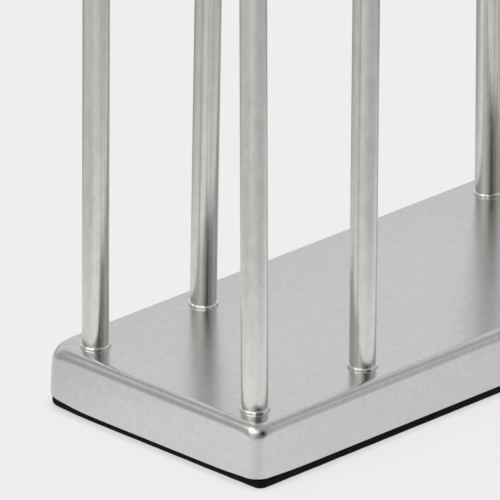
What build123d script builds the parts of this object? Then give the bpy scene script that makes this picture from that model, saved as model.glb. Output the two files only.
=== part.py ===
"""Umbrella stand: four inverted-U tube hoops on a weighted, steel-capped base.

Millimetres, +Z up. The origin is the centre of the base on the floor, +X runs along
the length of the base and -Y faces the front.
"""

import os
from math import radians, tan

from build123d import *

# ---- driving dimensions -------------------------------------------------------------

# base: a pressed steel cap over a cast iron plate, on a rubber pad
base_length = 290.0
base_width = 112.5
base_front_corner_radius = 6.0
base_back_corner_radius = 8.5
pad_thickness = 3.0
pad_end_inset = 1.6
pad_side_inset = 0.25
pad_front_corner_radius = 3.0
pad_back_corner_radius = 8.0
pad_edge_chamfer = 0.4
shell_height = 21.0
shell_sheet = 1.2
shell_edge_radius = 3.6
ballast_gap = 0.3
ballast_edge_chamfer = 2.6

# hoops: bent from one size of round tube
tube_diameter = 10.0
tube_wall = 1.2
overall_height = 500.0
hoop_bend_radius = 22.0
foot_end_inset = 13.5
foot_side_inset = 15.0
hoop_pair_spacing = 55.75
hoop_lean = {"left_end": 0.15, "left_inner": 0.9, "right_inner": -0.4, "right_end": -0.15}
leg_toe_in = 0.4

# rails: round bars that join the hoops just below their bends
rail_diameter = 8.0
rail_drop = 34.0

# welds
foot_weld_height = 1.2
foot_weld_width = 1.0
rail_weld_size = 0.9

# fixings: one screw for each leg, up through the ballast into a plug in the tube
socket_depth = 10.0
socket_clearance = 0.2
plug_length = 14.0
screw_diameter = 5.0
screw_hole_diameter = 5.5
screw_length = 17.0
screw_head_diameter = 9.5
screw_head_height = 3.7
screw_hex = 3.0
screw_hex_depth = 2.0
washer_diameter = 10.0
washer_thickness = 1.0
counterbore_diameter = 11.0
counterbore_depth = 5.5

# ---- derived places -----------------------------------------------------------------

tube_radius = tube_diameter / 2
bore_radius = tube_radius - tube_wall
rail_radius = rail_diameter / 2
base_top = pad_thickness + shell_height
ballast_top = base_top - shell_sheet
leg_end_depth = shell_sheet + socket_depth
end_foot_x = base_length / 2 - foot_end_inset
inner_foot_x = end_foot_x - hoop_pair_spacing
foot_y = base_width / 2 - foot_side_inset
hoop_rise = overall_height - tube_radius - base_top
rail_rise = hoop_rise - rail_drop

hoop_foot_x = {
    "left_end": -end_foot_x,
    "left_inner": -inner_foot_x,
    "right_inner": inner_foot_x,
    "right_end": end_foot_x,
}
side_sign = {"front": -1, "back": 1}
rail_spans = {
    "left": ("left_end", "left_inner"),
    "middle": ("left_inner", "right_inner"),
    "right": ("right_inner", "right_end"),
}


def leg_point(hoop, side, rise):
    """Point on a leg's centre line, at a height above the top of the base."""
    x = hoop_foot_x[hoop] + rise * tan(radians(hoop_lean[hoop]))
    y = side_sign[side] * (foot_y - rise * tan(radians(leg_toe_in)))
    return Vector(x, y, base_top + rise)


def leg_axis(hoop, side):
    """Direction of a leg, from its foot upwards."""
    return (leg_point(hoop, side, 1.0) - leg_point(hoop, side, 0.0)).normalized()


def leg_plane(hoop, side, rise):
    """Plane square to a leg, at a height above the top of the base."""
    return Plane(origin=leg_point(hoop, side, rise), z_dir=leg_axis(hoop, side))


legs = [(hoop, side) for hoop in hoop_foot_x for side in side_sign]
leg_end_planes = [leg_plane(hoop, side, -leg_end_depth) for hoop, side in legs]
counterbore_roof = pad_thickness + counterbore_depth - base_top
washer_planes = [
    leg_plane(hoop, side, counterbore_roof - washer_thickness) for hoop, side in legs
]

os.makedirs("parts", exist_ok=True)


def save(part, name):
    """Label a finished piece and write it as its own STEP file."""
    part.label = name
    export_step(part, f"parts/{name}.step")


def round_corners(outline, front_radius, back_radius):
    """Round the front and the back corners of the rectangle being sketched."""
    fillet(outline.vertices().group_by(Axis.Y)[0], front_radius)
    fillet(outline.vertices().group_by(Axis.Y)[-1], back_radius)


# ---- base ---------------------------------------------------------------------------

with BuildPart() as foot_pad:
    with BuildSketch() as pad_outline:
        Rectangle(base_length - 2 * pad_end_inset, base_width - 2 * pad_side_inset)
        round_corners(pad_outline, pad_front_corner_radius, pad_back_corner_radius)
    extrude(amount=pad_thickness)
    chamfer(foot_pad.faces().sort_by(Axis.Z)[0].edges(), pad_edge_chamfer)
save(foot_pad.part, "foot_pad")

with BuildPart() as base_shell:
    with BuildSketch(Plane.XY.offset(pad_thickness)) as shell_outline:
        Rectangle(base_length, base_width)
        round_corners(shell_outline, base_front_corner_radius, base_back_corner_radius)
    extrude(amount=shell_height)
    fillet(base_shell.faces().sort_by(Axis.Z)[-1].edges(), shell_edge_radius)
    offset(amount=-shell_sheet, openings=base_shell.faces().sort_by(Axis.Z)[0])
    with BuildSketch(*leg_end_planes):
        Circle(tube_radius)
    extrude(amount=2 * leg_end_depth, mode=Mode.SUBTRACT)
save(base_shell.part, "base_shell")

with BuildPart() as ballast_plate:
    ballast_inset = shell_sheet + ballast_gap
    with BuildSketch(Plane.XY.offset(pad_thickness)) as ballast_outline:
        Rectangle(base_length - 2 * ballast_inset, base_width - 2 * ballast_inset)
        round_corners(
            ballast_outline,
            base_front_corner_radius - ballast_inset,
            base_back_corner_radius - ballast_inset,
        )
    extrude(amount=ballast_top - pad_thickness)
    chamfer(ballast_plate.faces().sort_by(Axis.Z)[-1].edges(), ballast_edge_chamfer)
    with BuildSketch(*[plane.offset(-socket_clearance) for plane in leg_end_planes]):
        Circle(tube_radius + socket_clearance)
    extrude(amount=2 * leg_end_depth, mode=Mode.SUBTRACT)
    with BuildSketch(*leg_end_planes):
        Circle(screw_hole_diameter / 2)
    extrude(amount=-2 * leg_end_depth, mode=Mode.SUBTRACT)
    with BuildSketch(*[plane.offset(washer_thickness) for plane in washer_planes]):
        Circle(counterbore_diameter / 2)
    extrude(amount=-2 * counterbore_depth, mode=Mode.SUBTRACT)
save(ballast_plate.part, "ballast_plate")

# ---- hoops --------------------------------------------------------------------------

for hoop_name in hoop_foot_x:
    with BuildPart() as hoop:
        corners = [
            leg_point(hoop_name, "front", -leg_end_depth),
            leg_point(hoop_name, "front", hoop_rise),
            leg_point(hoop_name, "back", hoop_rise),
            leg_point(hoop_name, "back", -leg_end_depth),
        ]
        with BuildLine():
            FilletPolyline(*corners, radius=hoop_bend_radius)
        with BuildSketch(leg_plane(hoop_name, "front", -leg_end_depth)):
            Circle(tube_radius)
            Circle(bore_radius, mode=Mode.SUBTRACT)
        sweep()
    save(hoop.part, f"hoop_{hoop_name}")

# ---- welds at the feet --------------------------------------------------------------

for hoop_name, side in legs:
    foot = leg_point(hoop_name, side, 0.0)
    axis = leg_axis(hoop_name, side)
    across = Vector(1, 0, 0).cross(axis).normalized()
    with BuildPart() as foot_weld:
        with BuildSketch(Plane(origin=foot, x_dir=across, z_dir=across.cross(axis))):
            with BuildLine():
                weld_reach = tube_radius + foot_weld_width
                Polyline(
                    (weld_reach, foot_weld_height / 3),
                    (weld_reach, -foot_weld_height),
                    (tube_radius, -foot_weld_height),
                    (tube_radius, foot_weld_height),
                )
                RadiusArc(
                    (tube_radius, foot_weld_height),
                    (weld_reach, foot_weld_height / 3),
                    foot_weld_height,
                )
            make_face()
        revolve(axis=Axis(foot, axis))
        split(bisect_by=Plane.XY.offset(base_top), keep=Keep.TOP)
    save(foot_weld.part, f"foot_weld_{hoop_name}_{side}")

# ---- rails and their welds ----------------------------------------------------------

for side in side_sign:
    for span, ends in rail_spans.items():
        starts = [leg_point(hoop_name, side, rail_rise) for hoop_name in ends]
        leg_planes = [leg_plane(hoop_name, side, rail_rise) for hoop_name in ends]
        rail_plane = Plane(origin=starts[0], z_dir=starts[1] - starts[0])
        rail_length = (starts[1] - starts[0]).length

        with BuildPart() as rail:
            with BuildSketch(rail_plane):
                Circle(rail_radius)
            extrude(amount=rail_length)
            with BuildSketch(*leg_planes):
                Circle(tube_radius)
            extrude(amount=tube_diameter, both=True, mode=Mode.SUBTRACT)
        save(rail.part, f"rail_{side}_{span}")

        # each bead fills the corner between the rail and the leg that it meets
        with BuildPart() as rail_weld:
            with BuildSketch(rail_plane):
                Circle(rail_radius + rail_weld_size)
                Circle(rail_radius, mode=Mode.SUBTRACT)
            extrude(amount=rail_length)
            with BuildSketch(*leg_planes):
                Circle(tube_radius + rail_weld_size)
            extrude(amount=tube_diameter, both=True, mode=Mode.INTERSECT)
            with BuildSketch(*leg_planes):
                Circle(tube_radius)
            extrude(amount=tube_diameter, both=True, mode=Mode.SUBTRACT)
        save(rail_weld.part, f"rail_weld_{side}_{span}")

# ---- fixings ------------------------------------------------------------------------

with BuildPart() as leg_plugs:
    with BuildSketch(*leg_end_planes):
        Circle(bore_radius)
        Circle(screw_diameter / 2, mode=Mode.SUBTRACT)
    extrude(amount=plug_length)
save(leg_plugs.part, "leg_plugs")

with BuildPart() as base_washers:
    with BuildSketch(*washer_planes):
        Circle(washer_diameter / 2)
        Circle(screw_hole_diameter / 2, mode=Mode.SUBTRACT)
    extrude(amount=washer_thickness)
save(base_washers.part, "base_washers")

with BuildPart() as base_screws:
    with BuildSketch(*washer_planes):
        Circle(screw_head_diameter / 2)
    extrude(amount=-screw_head_height)
    with BuildSketch(*washer_planes):
        Circle(screw_diameter / 2)
    extrude(amount=screw_length)
    with BuildSketch(*[plane.offset(-screw_head_height) for plane in washer_planes]):
        RegularPolygon(screw_hex / 2, 6, major_radius=False)
    extrude(amount=screw_hex_depth, mode=Mode.SUBTRACT)
save(base_screws.part, "base_screws")
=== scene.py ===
"""Umbrella stand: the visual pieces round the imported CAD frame, and a plain studio."""

import functools
import math

import bmesh
import bpy
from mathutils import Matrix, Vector, noise


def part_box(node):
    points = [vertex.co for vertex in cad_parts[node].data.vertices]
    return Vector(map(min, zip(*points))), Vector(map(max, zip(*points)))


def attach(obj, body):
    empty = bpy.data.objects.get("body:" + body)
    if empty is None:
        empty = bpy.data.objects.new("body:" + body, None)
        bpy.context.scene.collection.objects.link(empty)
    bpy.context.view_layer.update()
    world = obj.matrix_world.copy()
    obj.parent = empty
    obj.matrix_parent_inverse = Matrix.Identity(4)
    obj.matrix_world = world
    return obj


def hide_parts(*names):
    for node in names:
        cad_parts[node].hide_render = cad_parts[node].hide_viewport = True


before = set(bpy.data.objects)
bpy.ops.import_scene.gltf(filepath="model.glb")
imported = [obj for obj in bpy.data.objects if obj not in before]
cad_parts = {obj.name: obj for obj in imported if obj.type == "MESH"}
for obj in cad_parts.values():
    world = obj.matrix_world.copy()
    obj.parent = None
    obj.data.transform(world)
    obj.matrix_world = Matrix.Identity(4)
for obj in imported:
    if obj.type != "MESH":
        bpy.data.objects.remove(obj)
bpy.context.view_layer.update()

# ---- sizes in metres, read from the frame or named here ------------------------------

SHELL_LOW, SHELL_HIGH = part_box("base_shell")
PAD_LOW, PAD_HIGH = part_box("foot_pad")
END_HOOP_LOW, END_HOOP_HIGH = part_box("hoop_left_end")
RAIL_LOW, RAIL_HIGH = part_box("rail_front_middle")
BALLAST_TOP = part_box("ballast_plate")[1].z
WELD_LOW, WELD_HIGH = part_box("foot_weld_left_end_front")

BASE_TOP = SHELL_HIGH.z
SHEET = BASE_TOP - BALLAST_TOP
TUBE_RADIUS = 0.005
TUBE_WALL = 0.0012
LEG_END_Z = END_HOOP_LOW.z
HOOP_TOP_Z = END_HOOP_HIGH.z - TUBE_RADIUS
BEND_RADIUS = 0.022
RAIL_Z = (RAIL_LOW.z + RAIL_HIGH.z) / 2
RAIL_RADIUS = (RAIL_HIGH.z - RAIL_LOW.z) / 2
FOOT_WELD_WIDTH = (WELD_HIGH.x - WELD_LOW.x) / 2 - TUBE_RADIUS
FOOT_WELD_HEIGHT = WELD_HIGH.z - BASE_TOP
RAIL_WELD_SIZE = 0.0009

# cap: the top edge is fuller, and the lower rim higher, at the middle of each corner
EDGE_RADIUS = 0.0036
SIDE_FLARE = 0.0006
FRONT_CORNER_RADIUS = 0.006
FRONT_CORNER_EDGE_RADIUS = 0.0054
FRONT_CORNER_EDGE_REACH = 0.0045
FRONT_CORNER_LIFT = 0.00075
FRONT_CORNER_FLARE = 0.0
BACK_CORNER_RADIUS = 0.0085
BACK_CORNER_EDGE_RADIUS = 0.0060
BACK_CORNER_EDGE_REACH = 0.0070
BACK_CORNER_LIFT = 0.0019
BACK_CORNER_FLARE = 0.0008
CORNER_WIDENING = 0.6
CORNER_LIFT_HEIGHT = 0.006
CORNER_LIFT_REACH = 0.0125
CORNER_FLARE_REACH = 0.008
RIM_CHAMFER = 0.00015
TOP_MARGIN = 0.0003

# pad: cut from sheet rubber, with its back corners curled up
PAD_FRONT_CORNER_RADIUS = 0.003
PAD_BACK_CORNER_RADIUS = 0.0066
PAD_EDGE_SOFTNESS = 0.00035
PAD_CUT_WANDER = 0.00012
PAD_CUT_WAVES = 220
PAD_CORNER_CURL = 0.0009
PAD_CURL_REACH = 0.011

HOOPS = ("left_end", "left_inner", "right_inner", "right_end")
SIDES = ("front", "back")
RAIL_SPANS = {
    "left": ("left_end", "left_inner"),
    "middle": ("left_inner", "right_inner"),
    "right": ("right_inner", "right_end"),
}
LEG_RAIL = {"left_end": "left", "left_inner": "left", "right_inner": "right", "right_end": "right"}

LENGTHWISE = Vector((1, 0, 0))
UPWARDS = Vector((0, 0, 1))


@functools.cache
def leg_ends(hoop, side):
    """Centre of a leg's lower end, and the point where its line meets the hoop's top."""
    low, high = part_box(f"hoop_{hoop}")
    outer, inner = sorted((low.x + TUBE_RADIUS, high.x - TUBE_RADIUS), key=abs, reverse=True)
    rail_low, rail_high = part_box(f"rail_{side}_{LEG_RAIL[hoop]}")
    foot_y = (low.y + TUBE_RADIUS) if side == "front" else (high.y - TUBE_RADIUS)
    rail_y = (rail_low.y + rail_high.y) / 2
    share = (RAIL_Z - LEG_END_Z) / (HOOP_TOP_Z - LEG_END_Z)
    top_y = foot_y + (rail_y - foot_y) / share
    return Vector((outer, foot_y, LEG_END_Z)), Vector((inner, top_y, HOOP_TOP_Z))


def leg_point(hoop, side, z):
    """Point on a leg's centre line at a height."""
    end, top = leg_ends(hoop, side)
    return end.lerp(top, (z - end.z) / (top.z - end.z))


def leg_axis(hoop, side):
    """Direction of a leg, upwards."""
    end, top = leg_ends(hoop, side)
    return (top - end).normalized()


# ---- mesh helpers --------------------------------------------------------------------

ALONG = "along"
SEAM = "seam"


def finish_mesh(bm, name, sharp_angle=math.radians(40)):
    """Turn a bmesh into a smooth-shaded object whose edges over sharp_angle stay crisp."""
    bmesh.ops.recalc_face_normals(bm, faces=bm.faces)
    for face in bm.faces:
        face.smooth = True
    for edge in bm.edges:
        edge.smooth = not edge.is_manifold or edge.calc_face_angle(0.0) < sharp_angle
    mesh = bpy.data.meshes.new(name)
    bm.to_mesh(mesh)
    bm.free()
    piece = bpy.data.objects.new(name, mesh)
    bpy.context.scene.collection.objects.link(piece)
    return piece


def add_loop(bm, points):
    """Add a closed loop of vertices."""
    return [bm.verts.new(point) for point in points]


def bridge(bm, first, second):
    """Join two loops of the same length with a band of quads."""
    count = len(first)
    for index in range(count):
        following = (index + 1) % count
        bm.faces.new((first[index], first[following], second[following], second[index]))


def bridge_chain(bm, loops):
    """Join each loop of a row to the next."""
    for first, second in zip(loops, loops[1:]):
        bridge(bm, first, second)


def bridge_sections(bm, sections):
    """Close a ring of cross-sections, each a closed outline, into a solid bead."""
    loops = [add_loop(bm, [section[k] for section in sections]) for k in range(len(sections[0]))]
    bridge_chain(bm, loops + loops[:1])


def loop_edges(bm, loop):
    """Edges between the neighbours of a closed loop, made where they are missing."""
    edges = []
    for first, second in zip(loop, loop[1:] + loop[:1]):
        edges.append(bm.edges.get((first, second)) or bm.edges.new((first, second)))
    return edges


def circle(centre, axis, across, radius, count):
    """Points of a circle round an axis, starting in the direction across."""
    side = axis.cross(across)
    turns = [2 * math.pi * step / count for step in range(count)]
    return [centre + radius * (math.cos(t) * across + math.sin(t) * side) for t in turns]


def square_to(axis, hint):
    """Unit vector square to axis, as near as possible to hint."""
    return (hint - hint.dot(axis) * axis).normalized()


def near(distance, reach):
    """1 at a distance of 0, falling smoothly to 0 beyond the reach."""
    return math.exp(-((distance / reach) ** 2))


def store_along(piece, values):
    """Keep each vertex's place on its bar as (round the bar, round the bar, along it)."""
    attribute = piece.data.attributes.new(ALONG, "FLOAT_VECTOR", "POINT")
    for index, value in enumerate(values):
        attribute.data[index].vector = value


# ---- the base ------------------------------------------------------------------------


def rounded_rectangle(half_x, half_y, front_radius, back_radius, corner_steps=20, step=0.003):
    """Outline of a rounded rectangle as (point, outward normal, distance to the corner)."""
    outline = []
    corners = [
        (1, 1, 0, back_radius),
        (-1, 1, 90, back_radius),
        (-1, -1, 180, front_radius),
        (1, -1, 270, front_radius),
    ]
    for (sign_x, sign_y, start, radius), following in zip(corners, corners[1:] + corners[:1]):
        centre = Vector((sign_x * (half_x - radius), sign_y * (half_y - radius)))
        for turn in range(corner_steps + 1):
            angle = math.radians(start + 90 * turn / corner_steps)
            normal = Vector((math.cos(angle), math.sin(angle)))
            away = radius * abs(turn / corner_steps - 0.5) * math.pi / 2
            outline.append((centre + radius * normal, normal, away))
        next_radius = following[-1]
        side_length = 2 * (half_y if start in (90, 270) else half_x) - radius - next_radius
        along = Vector((-normal.y, normal.x))
        begin = outline[-1][0]
        count = int(round(side_length / step))
        for place in range(1, count):
            passed = side_length * place / count
            before = passed + radius * math.pi / 4
            after = side_length - passed + next_radius * math.pi / 4
            outline.append((begin + along * passed, normal, min(before, after)))
    return outline


def shell_point(point, normal, away, place):
    """Point of the cap at a place on its section, for one point of its outline.

    The place gives an inset and a height from the edge's width and drop at that point.
    """
    if point.y < 0:
        reach, edge_radius = FRONT_CORNER_EDGE_REACH, FRONT_CORNER_EDGE_RADIUS
        lift, flare = FRONT_CORNER_LIFT, FRONT_CORNER_FLARE
    else:
        reach, edge_radius = BACK_CORNER_EDGE_REACH, BACK_CORNER_EDGE_RADIUS
        lift, flare = BACK_CORNER_LIFT, BACK_CORNER_FLARE
    growth = (edge_radius - EDGE_RADIUS) * near(away, reach)
    inset, z = place(EDGE_RADIUS + CORNER_WIDENING * growth, EDGE_RADIUS + growth)
    low = max(0.0, 1 - (z - SHELL_LOW.z) / CORNER_LIFT_HEIGHT)
    z += low * lift * near(away, CORNER_LIFT_REACH)
    rise = (z - SHELL_LOW.z) / (BASE_TOP - SHELL_LOW.z)
    inset += SIDE_FLARE * rise**3 + flare * rise**1.5 * near(away, CORNER_FLARE_REACH)
    return (point - normal * inset).to_3d() + Vector((0, 0, z))


def make_shell():
    """Pressed steel cap: 1.2 mm sheet, a rounded top edge that is fuller at the corners."""
    bm = bmesh.new()
    half_x = (SHELL_HIGH.x - SHELL_LOW.x) / 2
    half_y = (SHELL_HIGH.y - SHELL_LOW.y) / 2
    outline = rounded_rectangle(half_x, half_y, FRONT_CORNER_RADIUS, BACK_CORNER_RADIUS)
    edge_steps = 18
    side_shares = (0.03, 0.2, 0.4, 0.55, 0.7, 0.85, 0.98)
    low_z = SHELL_LOW.z + RIM_CHAMFER

    def at(inset, z):
        """Place that is the same all round the cap."""
        return lambda wide, drop: (inset, z)

    def up_side(share):
        """Place that is a share of the way up the straight side."""
        return lambda wide, drop: (0.0, low_z + (BASE_TOP - drop - low_z) * share)

    def on_top(wide, drop):
        """Place just past the rounded edge, where the flat top begins."""
        return wide + TOP_MARGIN, BASE_TOP

    def on_edge(depth, step):
        """Place on the rounded edge, at a depth inside the skin."""
        angle = math.pi / 2 * step / edge_steps

        def place(wide, drop):
            inset = wide - (wide - depth) * math.cos(angle)
            return inset, BASE_TOP - drop + (drop - depth) * math.sin(angle)

        return place

    def loops(places):
        """A loop of vertices round the cap for each place on its section."""
        return [add_loop(bm, [shell_point(*spot, place) for spot in outline]) for place in places]

    edges = range(edge_steps + 1)
    outer_places = [at(RIM_CHAMFER, SHELL_LOW.z), at(0.0, low_z)]
    outer_places += [up_side(share) for share in side_shares]
    outer_places += [on_edge(0.0, step) for step in edges]
    outer_places += [on_top]
    inner_places = [at(SHEET - RIM_CHAMFER, SHELL_LOW.z), at(SHEET, low_z)]
    inner_places += [on_edge(SHEET, step) for step in edges]
    outer = loops(outer_places)
    inner = loops(inner_places)
    bridge_chain(bm, outer)
    bridge_chain(bm, inner)
    bridge(bm, inner[0], outer[0])
    top_edges = loop_edges(bm, outer[-1])
    roof_edges = loop_edges(bm, inner[-1])
    for hoop in HOOPS:
        for side in SIDES:
            upper = add_loop(bm, leg_hole(hoop, side, BASE_TOP))
            lower = add_loop(bm, leg_hole(hoop, side, BASE_TOP - SHEET))
            bridge(bm, upper, lower)
            top_edges += loop_edges(bm, upper)
            roof_edges += loop_edges(bm, lower)
    for edges in (top_edges, roof_edges):
        bmesh.ops.triangle_fill(bm, use_beauty=True, edges=edges, normal=(0, 0, 1))
    piece = finish_mesh(bm, "shell")
    skin = len(outline) * len(outer)
    far = 1.0
    seam = piece.data.attributes.new(SEAM, "FLOAT", "POINT")
    for index in range(len(piece.data.vertices)):
        away = outline[index % len(outline)][-1]
        seam.data[index].value = away if index < skin else far
    return piece


def leg_hole(hoop, side, z):
    """Outline of the hole round a leg at a height."""
    return circle(leg_point(hoop, side, z), UPWARDS, LENGTHWISE, TUBE_RADIUS, count=48)


def make_pad():
    """Sheet rubber pad with slightly uneven, softly rounded cut edges."""
    bm = bmesh.new()
    half_x = (PAD_HIGH.x - PAD_LOW.x) / 2
    half_y = (PAD_HIGH.y - PAD_LOW.y) / 2
    radii = (PAD_FRONT_CORNER_RADIUS, PAD_BACK_CORNER_RADIUS)
    outline = rounded_rectangle(half_x, half_y, *radii, corner_steps=10, step=0.0012)
    soft = PAD_EDGE_SOFTNESS
    eased = soft * 0.3
    lower = [(soft, 0.0), (eased, eased), (0.0, soft)]
    profile = [(inset, PAD_LOW.z + rise) for inset, rise in lower]
    profile += [(inset, PAD_HIGH.z - rise) for inset, rise in reversed(lower)]
    loops = []
    for inset, z in profile:
        share = (PAD_HIGH.z - z) / (PAD_HIGH.z - PAD_LOW.z)
        points = []
        for point, normal, away in outline:
            wave = noise.noise(Vector((point.x, point.y, z)) * PAD_CUT_WAVES)
            cut = PAD_CUT_WANDER * (1 + wave)
            lift = PAD_CORNER_CURL * near(away, PAD_CURL_REACH) if point.y > 0 else 0.0
            flat = point - normal * (inset + cut)
            points.append(flat.to_3d() + Vector((0, 0, z + lift * share)))
        loops.append(add_loop(bm, points))
    bridge_chain(bm, loops)
    bm.faces.new(loops[-1])
    bm.faces.new(list(reversed(loops[0])))
    return finish_mesh(bm, "pad", sharp_angle=math.radians(60))


# ---- tubes and bars ------------------------------------------------------------------


def hoop_path(hoop):
    """Centre line of a hoop, as (point, direction) pairs: leg, bend, top, bend, leg."""
    front_end, front_top = leg_ends(hoop, "front")
    back_end, back_top = leg_ends(hoop, "back")
    route = [front_end, front_top, back_top, back_end]
    bend_steps = 28
    path = [(route[0], (route[1] - route[0]).normalized())]
    for before, corner, after in zip(route, route[1:], route[2:]):
        way_in = (corner - before).normalized()
        way_out = (after - corner).normalized()
        turn = way_in.angle(way_out)
        start = corner - way_in * BEND_RADIUS * math.tan(turn / 2)
        inward = square_to(way_in, way_out)
        centre = start + inward * BEND_RADIUS
        for step in range(bend_steps + 1):
            angle = turn * step / bend_steps
            point = centre + BEND_RADIUS * (math.sin(angle) * way_in - math.cos(angle) * inward)
            path.append((point, math.cos(angle) * way_in + math.sin(angle) * inward))
    path.append((route[3], (route[3] - route[2]).normalized()))
    return subdivided(path)


def subdivided(path, longest=0.012):
    """Path with even extra points on its long straight runs."""
    full = [path[0]]
    for (start, _), (end, direction) in zip(path, path[1:]):
        count = max(1, int(math.ceil((end - start).length / longest)))
        full += [(start.lerp(end, step / count), direction) for step in range(1, count + 1)]
    return full


def make_hoop(hoop):
    """Bent tube, open and hollow at its lower ends."""
    bm = bmesh.new()
    around = 72
    path = hoop_path(hoop)
    across = square_to(path[0][1], LENGTHWISE)
    travelled = 0.0
    chains = {TUBE_RADIUS: [], TUBE_RADIUS - TUBE_WALL: []}
    places = []
    for index, (point, direction) in enumerate(path):
        travelled += (point - path[index - 1][0]).length if index else 0.0
        across = square_to(direction, across)
        for radius, chain in chains.items():
            chain.append(add_loop(bm, circle(point, direction, across, radius, around)))
            places += circle(UPWARDS * travelled, UPWARDS, LENGTHWISE, radius, around)
    outer, inner = chains.values()
    bridge_chain(bm, outer)
    bridge_chain(bm, inner)
    bridge(bm, outer[0], inner[0])
    bridge(bm, outer[-1], inner[-1])
    piece = finish_mesh(bm, f"tube_{hoop}")
    store_along(piece, places)
    return piece


def distance_to_leg(point, direction, hoop, side):
    """How far a point travels along a direction before it meets a leg's surface."""
    axis = leg_axis(hoop, side)
    offset = (point - leg_point(hoop, side, BASE_TOP)).cross(axis)
    speed = direction.cross(axis)
    a = speed.dot(speed)
    b = 2 * offset.dot(speed)
    c = offset.dot(offset) - TUBE_RADIUS**2
    return (-b - math.sqrt(b * b - 4 * a * c)) / (2 * a)


def rail_ring(side, span, radius, around):
    """Centre, direction and ring of points of a rail at its middle."""
    ends = [leg_point(hoop, side, RAIL_Z) for hoop in RAIL_SPANS[span]]
    direction = (ends[1] - ends[0]).normalized()
    centre = (ends[0] + ends[1]) / 2
    ring = circle(centre, direction, square_to(direction, UPWARDS), radius, around)
    return centre, direction, ring


def make_rail(side, span):
    """Round bar with its ends coped to fit the legs."""
    bm = bmesh.new()
    around = 64
    lengths = 24
    centre, direction, ring = rail_ring(side, span, RAIL_RADIUS, around)
    first_leg, last_leg = RAIL_SPANS[span]
    starts = [p - direction * distance_to_leg(p, -direction, first_leg, side) for p in ring]
    stops = [p + direction * distance_to_leg(p, direction, last_leg, side) for p in ring]
    loops, places = [], []
    for step in range(lengths + 1):
        points = [a.lerp(b, step / lengths) for a, b in zip(starts, stops)]
        loops.append(add_loop(bm, points))
        for index, point in enumerate(points):
            turn = 2 * math.pi * index / around
            along = (point - centre).dot(direction)
            places.append((RAIL_RADIUS * math.cos(turn), RAIL_RADIUS * math.sin(turn), along))
    bridge_chain(bm, loops)
    for loop, way, leg in ((loops[0], -direction, first_leg), (loops[-1], direction, last_leg)):
        reach = distance_to_leg(centre, way, leg, side)
        tip = bm.verts.new(centre + way * reach)
        places.append((0.0, 0.0, reach * way.dot(direction)))
        for one, other in zip(loop, loop[1:] + loop[:1]):
            bm.faces.new((one, other, tip))
    piece = finish_mesh(bm, f"bar_{side}_{span}")
    store_along(piece, places)
    return piece


# ---- welds ---------------------------------------------------------------------------

BEAD_AROUND = 96
BEAD_SHARP_ANGLE = math.radians(75)
BEAD_WAVES = 3.0
SEED_SPACING = 7.3
HEIGHT_SEED = 50
RAIL_WELD_SEED = 20


def uneven(seed, turn, amount):
    """Small smooth variation round a weld bead, the same each time."""
    x, y = math.cos(turn) * BEAD_WAVES, math.sin(turn) * BEAD_WAVES
    return amount * noise.noise(Vector((x, y, seed * SEED_SPACING)))


def make_foot_weld(hoop, side, seed):
    """Plump bead round the foot of a leg, wider and narrower as it goes round."""
    bm = bmesh.new()
    section_steps = 14
    plumpness = 0.8
    buried = 0.0003
    mean_width, width_change = 0.72, 0.35
    mean_height, height_change = 0.84, 0.25
    axis = leg_axis(hoop, side)
    foot = leg_point(hoop, side, BASE_TOP)
    across = square_to(axis, LENGTHWISE)
    beside = axis.cross(across)
    sections = []
    for index in range(BEAD_AROUND):
        turn = 2 * math.pi * index / BEAD_AROUND
        outward = math.cos(turn) * across + math.sin(turn) * beside
        width_share = mean_width + uneven(seed, turn, width_change)
        height_share = mean_height + uneven(seed + HEIGHT_SEED, turn, height_change)
        wide = FOOT_WELD_WIDTH * width_share + buried
        high = FOOT_WELD_HEIGHT * height_share
        wall = foot + outward * (TUBE_RADIUS - buried)
        section = [wall]
        for step in range(section_steps + 1):
            angle = math.pi / 2 * step / section_steps
            reach = wide * max(0.0, math.cos(angle)) ** plumpness
            section.append(wall + outward * reach + axis * high * math.sin(angle) ** plumpness)
        for low in section[:2]:
            low.z = BASE_TOP
        sections.append(section)
    bridge_sections(bm, sections)
    return finish_mesh(bm, f"bead_{hoop}_{side}", BEAD_SHARP_ANGLE)


def make_rail_welds(side, span, seed):
    """Two saddle beads, where a rail meets its legs."""
    bm = bmesh.new()
    bulge_steps = 8
    bulge = 0.25
    buried = 0.00015
    mean_size, size_change = 0.88, 0.22
    centre, direction, ring = rail_ring(side, span, RAIL_RADIUS, BEAD_AROUND)
    for way, leg in ((-direction, RAIL_SPANS[span][0]), (direction, RAIL_SPANS[span][1])):
        seed += 1
        axis = leg_axis(leg, side)
        foot = leg_point(leg, side, BASE_TOP)
        sections = []
        for index, point in enumerate(ring):
            turn = 2 * math.pi * index / BEAD_AROUND
            seam = point + way * distance_to_leg(point, way, leg, side)
            from_leg = square_to(axis, seam - foot)
            from_rail = (point - centre).normalized()
            up_leg = square_to(from_leg, from_rail)
            up_rail = square_to(from_rail, from_leg)
            size = RAIL_WELD_SIZE * (mean_size + uneven(seed, turn, size_change))
            section = [seam - buried * (from_leg + from_rail)]
            for step in range(bulge_steps + 1):
                share = step / bulge_steps
                flat = seam + size * ((1 - share) * up_leg + share * up_rail)
                lift = bulge * size * math.sin(math.pi * share)
                section.append(flat + lift * (from_leg + from_rail).normalized())
            sections.append(section)
        bridge_sections(bm, sections)
    return finish_mesh(bm, f"saddle_beads_{side}_{span}", BEAD_SHARP_ANGLE)


# ---- node trees ----------------------------------------------------------------------


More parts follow.
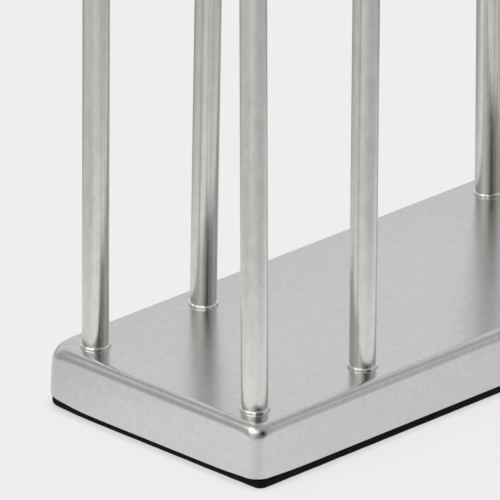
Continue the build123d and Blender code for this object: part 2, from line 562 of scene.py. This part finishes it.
class Nodes:
    """A node tree, with short calls for the nodes that are used."""

    def __init__(self, tree):
        self.tree = tree

    def link(self, source, target):
        """Link an output to an input."""
        self.tree.links.new(source, target)

    def node(self, kind, **settings):
        """Make a node with its settings."""
        made = self.tree.nodes.new(kind)
        for name, value in settings.items():
            setattr(made, name, value)
        return made

    def vector_math(self, operation, source, value=(0, 0, 0)):
        """Result of a vector operation on a source and a plain value."""
        made = self.node("ShaderNodeVectorMath", operation=operation)
        made.inputs[1].default_value = value
        self.link(source, made.inputs[0])
        return made.outputs["Value" if operation in ("DOT_PRODUCT", "LENGTH") else "Vector"]

    def spread(self, source, low, high, start=0.3, stop=0.7, kind="LINEAR"):
        """Go from low to high as a source goes from start to stop."""
        made = self.node("ShaderNodeMapRange", interpolation_type=kind)
        limits = {"From Min": start, "From Max": stop, "To Min": low, "To Max": high}
        for name, value in limits.items():
            made.inputs[name].default_value = value
        self.link(source, made.inputs["Value"])
        return made.outputs["Result"]

    def fade(self, source, start, stop, low, high):
        """Go smoothly from low to high as a source goes from start to stop."""
        return self.spread(source, low, high, start, stop, "SMOOTHSTEP")


# ---- materials -----------------------------------------------------------------------

SHELL_COLOUR = (0.675, 0.675, 0.662)
TUBE_COLOUR = (0.742, 0.744, 0.716)
WELD_COLOUR = (0.82, 0.82, 0.81)
RUBBER_COLOUR = (0.005, 0.005, 0.005)
IRON_COLOUR = (0.13, 0.125, 0.12)
ZINC_COLOUR = (0.58, 0.60, 0.60)

GROUND_CORNER_SHADE = 0.88
GROUND_CORNER_REACH = (0.0004, 0.0030)
# painted shade: the cap's colour darkens towards the back long side, standing in for how the light
# falls there
BACK_PAINTED_SHADE = 0.94
BACK_PAINTED_SHADE_REACH = (0.012, 0.056)


class Shader(Nodes):
    """A new material's node tree."""

    def __init__(self, name, **values):
        self.material = bpy.data.materials.new(name)
        self.material.use_nodes = True
        super().__init__(self.material.node_tree)
        self.surface = self.tree.nodes["Principled BSDF"]
        for socket, value in values.items():
            self.surface.inputs[socket.replace("_", " ")].default_value = value

    def place(self, scale=(1, 1, 1), attribute=None):
        """Coordinates in metres, stretched by scale."""
        mapping = self.node("ShaderNodeMapping", vector_type="POINT")
        mapping.inputs["Scale"].default_value = scale
        if attribute:
            source = self.node("ShaderNodeAttribute", attribute_name=attribute).outputs["Vector"]
        else:
            source = self.node("ShaderNodeTexCoord").outputs["Object"]
        self.link(source, mapping.inputs[0])
        return mapping.outputs[0]

    def noise(self, place, scale=1, detail=3, roughness=0.5):
        """Noise from 0 to 1."""
        made = self.node("ShaderNodeTexNoise")
        made.inputs["Scale"].default_value = scale
        made.inputs["Detail"].default_value = detail
        made.inputs["Roughness"].default_value = roughness
        self.link(place, made.inputs["Vector"])
        return made.outputs["Fac"]

    def vary(self, source, amount):
        """1 give or take an amount."""
        return self.spread(source, 1 - amount, 1 + amount)

    def math(self, operation, first, second):
        """Result of an operation on two sources."""
        made = self.node("ShaderNodeMath", operation=operation)
        self.link(first, made.inputs[0])
        self.link(second, made.inputs[1])
        return made.outputs[0]

    def product(self, *sources):
        """All the sources multiplied."""
        return functools.reduce(functools.partial(self.math, "MULTIPLY"), sources)

    def add(self, first, second):
        """Sum of two sources."""
        return self.math("ADD", first, second)

    def tint(self, colour, factor):
        """A colour times a grey factor that varies over the surface."""
        made = self.node("ShaderNodeVectorMath", operation="SCALE")
        made.inputs[0].default_value = colour
        self.link(factor, made.inputs["Scale"])
        self.link(made.outputs[0], self.surface.inputs["Base Color"])

    def rough(self, source):
        """Take the roughness from a source."""
        self.link(source, self.surface.inputs["Roughness"])

    def bump(self, *layers):
        """Chain of bumps, each (height, strength, distance in metres)."""
        last = None
        for height, strength, distance in layers:
            made = self.node("ShaderNodeBump")
            made.inputs["Strength"].default_value = strength
            made.inputs["Distance"].default_value = distance
            self.link(height, made.inputs["Height"])
            if last:
                self.link(last, made.inputs["Normal"])
            last = made.outputs["Normal"]
        self.link(last, self.surface.inputs["Normal"])


def shell_steel():
    """Satin nickel plate on pressed sheet: grain, clouded gloss, dull ground corners, and painted
    shade that darkens it towards the back.
    """
    shader = Shader("shell_satin_nickel", Metallic=1.0)
    place = shader.place()
    clouds = shader.noise(place, scale=28, detail=4)
    mottle = shader.noise(place, scale=330, detail=4, roughness=0.6)
    grain = shader.noise(place, scale=2400, detail=2)
    rubs = shader.noise(shader.place((40, 900, 900)))
    seam = shader.node("ShaderNodeAttribute", attribute_name=SEAM).outputs["Fac"]
    split = shader.node("ShaderNodeSeparateXYZ")
    shader.link(place, split.inputs[0])
    ground = shader.spread(seam, GROUND_CORNER_SHADE, 1.0, *GROUND_CORNER_REACH)
    # painted shade: colour darker towards the back long side, in place of the dimmer reflection
    # there
    back_painted_shade = shader.spread(split.outputs["Y"], 1.0, BACK_PAINTED_SHADE, *BACK_PAINTED_SHADE_REACH)
    speckle = shader.product(shader.vary(mottle, 0.035), shader.vary(grain, 0.05))
    cloudy_and_painted_shade = shader.product(shader.vary(clouds, 0.015), ground, back_painted_shade)
    shader.tint(SHELL_COLOUR, shader.product(speckle, cloudy_and_painted_shade))
    shader.rough(shader.add(shader.spread(clouds, 0.22, 0.25), shader.spread(rubs, -0.01, 0.01)))
    shader.bump((clouds, 0.15, 0.0004), (grain, 0.12, 0.00002))
    return shader.material


def tube_steel(name):
    """Satin nickel plate on drawn tube: faint streaks along it and fine grain."""
    shader = Shader(name, Metallic=1.0)
    streaks = shader.noise(shader.place((700, 700, 9), ALONG), detail=4, roughness=0.6)
    grain = shader.noise(shader.place(attribute=ALONG), scale=2600, detail=2)
    patches = shader.noise(shader.place((120, 120, 40), ALONG))
    mottle = shader.noise(shader.place((330, 330, 170), ALONG), detail=4, roughness=0.6)
    speckle = shader.product(shader.vary(mottle, 0.06), shader.vary(grain, 0.05))
    shader.tint(TUBE_COLOUR, shader.product(shader.vary(streaks, 0.03), speckle))
    streaky = shader.spread(streaks, -0.015, 0.015)
    shader.rough(shader.add(shader.spread(patches, 0.21, 0.25), streaky))
    shader.bump((streaks, 0.1, 0.00006), (grain, 0.1, 0.00002))
    return shader.material


def weld_metal():
    """Plated weld bead: smoother and brighter than the tube, with soft ripples."""
    shader = Shader("plated_weld", Metallic=1.0)
    place = shader.place()
    ripples = shader.noise(place, scale=900, detail=2)
    fine = shader.noise(place, scale=4200, detail=2)
    shader.tint(WELD_COLOUR, shader.vary(ripples, 0.05))
    shader.rough(shader.spread(fine, 0.13, 0.19))
    shader.bump((ripples, 0.25, 0.00012), (fine, 0.1, 0.00002))
    return shader.material


def pad_rubber():
    """Matt black sheet rubber: fine pores and a dusty, cut edge."""
    shader = Shader("black_sheet_rubber", Metallic=0.0, Specular_IOR_Level=0.1)
    place = shader.place()
    pores = shader.noise(place, scale=1500, detail=4, roughness=0.65)
    dust = shader.noise(place, scale=260)
    shader.tint(RUBBER_COLOUR, shader.spread(dust, 0.5, 1.8))
    shader.rough(shader.spread(pores, 0.62, 0.9))
    shader.bump((pores, 0.5, 0.00012))
    return shader.material


def cast_iron():
    """Raw cast iron of the hidden ballast: coarse sand-cast skin."""
    shader = Shader("cast_iron_skin", Metallic=0.8)
    place = shader.place()
    sand = shader.noise(place, scale=700, detail=5, roughness=0.7)
    blotches = shader.noise(place, scale=60)
    shader.tint(IRON_COLOUR, shader.vary(blotches, 0.3))
    shader.rough(shader.spread(sand, 0.55, 0.8))
    shader.bump((sand, 0.6, 0.0004))
    return shader.material


def zinc_plate():
    """Zinc-plated fixings hidden under the base."""
    shader = Shader("zinc_plate", Metallic=1.0)
    bloom = shader.noise(shader.place(), scale=450)
    shader.tint(ZINC_COLOUR, shader.vary(bloom, 0.08))
    shader.rough(shader.spread(bloom, 0.28, 0.42))
    shader.bump((bloom, 0.15, 0.00005))
    return shader.material


# ---- the object ----------------------------------------------------------------------


def put_on(piece, material):
    """Give a piece one material on every face."""
    piece.data.materials.clear()
    piece.data.materials.append(material)


def keep_node(node, material):
    """Show a CAD node as it is, with a better material in each of its slots."""
    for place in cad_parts[node].material_slots:
        place.material = material


def stand_for(piece, node, material):
    """Show a piece in place of a CAD node."""
    put_on(piece, material)
    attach(piece, "root")
    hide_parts(node)


def make_object():
    """The base, the hoops with their foot welds, the rails with theirs, and the fixings."""
    tube_finish = tube_steel("tube_satin_nickel")
    rail_finish = tube_steel("rail_satin_nickel")
    weld_finish = weld_metal()
    zinc = zinc_plate()
    stand_for(make_shell(), "base_shell", shell_steel())
    stand_for(make_pad(), "foot_pad", pad_rubber())
    for number, hoop in enumerate(HOOPS):
        stand_for(make_hoop(hoop), f"hoop_{hoop}", tube_finish)
        for turn, side in enumerate(SIDES):
            bead = make_foot_weld(hoop, side, 2 * number + turn)
            stand_for(bead, f"foot_weld_{hoop}_{side}", weld_finish)
    for turn, side in enumerate(SIDES):
        for number, span in enumerate(RAIL_SPANS):
            stand_for(make_rail(side, span), f"rail_{side}_{span}", rail_finish)
            seed = RAIL_WELD_SEED + 2 * (len(RAIL_SPANS) * turn + number)
            beads = make_rail_welds(side, span, seed)
            stand_for(beads, f"rail_weld_{side}_{span}", weld_finish)
    keep_node("ballast_plate", cast_iron())
    for node in ("leg_plugs", "base_washers", "base_screws"):
        keep_node(node, zinc)


# ---- camera --------------------------------------------------------------------------

CAMERA_AZIMUTH = -45.0
CAMERA_ELEVATION = 22.8
CAMERA_DISTANCE = 4.5
CAMERA_LENS = 892.8
CAMERA_SENSOR = 36
CAMERA_CLIP = (0.1, 100)
AIM_FROM_LEFT_END = 0.0324
AIM_FROM_FRONT = 0.03625
AIM_HEIGHT = 0.0745


def direction_from(azimuth, elevation):
    """Unit vector towards a viewer: azimuth 0 is in front (-Y), 90 is to the right (+X)."""
    a, e = math.radians(azimuth), math.radians(elevation)
    return Vector((math.sin(a) * math.cos(e), -math.cos(a) * math.cos(e), math.sin(e)))


def make_camera():
    """The photograph's camera: a long lens, far away."""
    data = bpy.data.cameras.new("camera")
    data.sensor_width = CAMERA_SENSOR
    data.lens = CAMERA_LENS
    data.clip_start, data.clip_end = CAMERA_CLIP
    camera = bpy.data.objects.new("camera", data)
    bpy.context.scene.collection.objects.link(camera)
    back = direction_from(CAMERA_AZIMUTH, CAMERA_ELEVATION)
    aim = Vector((SHELL_LOW.x + AIM_FROM_LEFT_END, SHELL_LOW.y + AIM_FROM_FRONT, AIM_HEIGHT))
    camera.location = aim + back * CAMERA_DISTANCE
    camera.rotation_mode = "QUATERNION"
    camera.rotation_quaternion = (-back).to_track_quat("-Z", "Y")
    bpy.context.scene.camera = camera


# ---- studio --------------------------------------------------------------------------

FLOOR_REACH = 40.0
FLOOR_COLOUR = (0.17, 0.17, 0.17, 1)
FLOOR_GLOW = 0.738
CONTACT_REACH = 0.0045
CONTACT_SHADE = 0.78
CONTACT_START = 0.4
BACKGROUND_COLOUR = (0.855, 0.855, 0.855, 1)

# floor as the metal mirrors it, each (from, to, glow or share there, glow or share beyond)
POOL_RIGHTWARD = (-0.22, 0.30, 0.575, 0.40)
POOL_OUTWARD = (0.08, 0.20, 0.19, 0.0)
POOL_BACKWARD = (0.0, 0.20, 1.0, 0.58)
POOL_LEFT_BACK = (0.10, 0.165, 1.0, 0.84)
LEFT_BACK_WAY = (-0.5, 1.0, 0.0)

# base glow of the studio, then (azimuth, elevation, inner and outer half-angle, added glow)
STUDIO_FILL = (0.445, 0.445, 0.442)
STUDIO_LAMPS = [
    (CAMERA_AZIMUTH + 180, 18, 16, 64, (0.342, 0.354, 0.388)),
    (CAMERA_AZIMUTH - 102, 39, 1, 11, (0.28, 0.28, 0.28)),
    (CAMERA_AZIMUTH - 140, 48, 4, 14, (-0.22, -0.22, -0.22)),
    (CAMERA_AZIMUTH + 96, 32.5, 0, 11, (0.28, 0.28, 0.28)),
    (CAMERA_AZIMUTH + 88, 8, 4, 20, (0.12, 0.12, 0.12)),
    (CAMERA_AZIMUTH - 50, 52, 14, 26, (1.4, 1.4, 1.4)),
    (CAMERA_AZIMUTH - 14, 48, 4, 19, (1.1, 1.1, 1.1)),
    (CAMERA_AZIMUTH - 80, 50, 4, 14, (1.0, 1.0, 1.0)),
    (CAMERA_AZIMUTH + 24, 42, 10, 24, (-0.24, -0.24, -0.24)),
    (CAMERA_AZIMUTH - 36, 20, 8, 28, (0.30, 0.30, 0.30)),
    (CAMERA_AZIMUTH + 30, 18, 8, 34, (-0.23, -0.23, -0.23)),
    (CAMERA_AZIMUTH + 52, 20, 10, 30, (-0.16, -0.16, -0.16)),
]


def make_floor():
    """Wide pale floor; the metal mirrors a pool of light that fades away from the base."""
    bm = bmesh.new()
    corners = ((-1, -1), (1, -1), (1, 1), (-1, 1))
    bm.faces.new(add_loop(bm, [(x * FLOOR_REACH, y * FLOOR_REACH, 0.0) for x, y in corners]))
    floor = finish_mesh(bm, "floor")
    shader = Shader(
        "pale_floor",
        Roughness=1.0,
        Specular_IOR_Level=0.0,
        Base_Color=FLOOR_COLOUR,
        Emission_Color=(1, 1, 1, 1),
    )
    position = shader.node("ShaderNodeNewGeometry").outputs["Position"]
    outward = shader.vector_math("ABSOLUTE", position)
    outward = shader.vector_math("SUBTRACT", outward, (SHELL_HIGH.x, SHELL_HIGH.y, 0))
    outward = shader.vector_math("MAXIMUM", outward)
    outward = shader.vector_math("LENGTH", outward)
    rightward = direction_from(CAMERA_AZIMUTH + 90, 0)
    rightward = shader.vector_math("DOT_PRODUCT", position, rightward)
    backward = direction_from(CAMERA_AZIMUTH + 180, 0)
    backward = shader.vector_math("DOT_PRODUCT", position, backward)
    left_back = shader.vector_math("DOT_PRODUCT", position, LEFT_BACK_WAY)
    pool = shader.product(
        shader.add(
            shader.fade(rightward, *POOL_RIGHTWARD),
            shader.fade(outward, *POOL_OUTWARD),
        ),
        shader.fade(backward, *POOL_BACKWARD),
        shader.fade(left_back, *POOL_LEFT_BACK),
    )
    contact = shader.node("ShaderNodeAmbientOcclusion", samples=12)
    contact.inputs["Distance"].default_value = CONTACT_REACH
    shaded = FLOOR_GLOW * CONTACT_SHADE
    shadow = shader.spread(contact.outputs["AO"], shaded, FLOOR_GLOW, CONTACT_START, 1.0)
    path = shader.node("ShaderNodeLightPath")
    glow = shader.node("ShaderNodeMix")
    shader.link(path.outputs["Is Glossy Ray"], glow.inputs["Factor"])
    shader.link(shadow, glow.inputs["A"])
    shader.link(pool, glow.inputs["B"])
    shader.link(glow.outputs["Result"], shader.surface.inputs["Emission Strength"])
    put_on(floor, shader.material)


def make_world():
    """Soft studio light from all round, as a few wide glowing areas."""
    world = bpy.data.worlds.new("studio")
    bpy.context.scene.world = world
    world.use_nodes = True
    nodes = Nodes(world.node_tree)
    background = nodes.tree.nodes["Background"]
    direction = nodes.node("ShaderNodeTexCoord").outputs["Generated"]
    light = None
    for azimuth, elevation, inner, outer, colour in STUDIO_LAMPS:
        facing = nodes.vector_math("DOT_PRODUCT", direction, direction_from(azimuth, elevation))
        edge, full = math.cos(math.radians(outer)), math.cos(math.radians(inner))
        glow = nodes.node("ShaderNodeVectorMath", operation="MULTIPLY_ADD")
        nodes.link(nodes.fade(facing, edge, full, 0.0, 1.0), glow.inputs[0])
        glow.inputs[1].default_value = colour
        if light:
            nodes.link(light, glow.inputs[2])
        else:
            glow.inputs[2].default_value = STUDIO_FILL
        light = glow.outputs[0]
    path = nodes.node("ShaderNodeLightPath")
    seen = nodes.node("ShaderNodeMix", data_type="RGBA")
    nodes.link(path.outputs["Is Camera Ray"], seen.inputs["Factor"])
    nodes.link(light, seen.inputs["A"])
    seen.inputs["B"].default_value = BACKGROUND_COLOUR
    nodes.link(seen.outputs["Result"], background.inputs["Color"])


# ---- the whole scene -----------------------------------------------------------------


make_camera()
make_object()
make_floor()
make_world()
bpy.context.scene.view_settings.view_transform = "Standard"
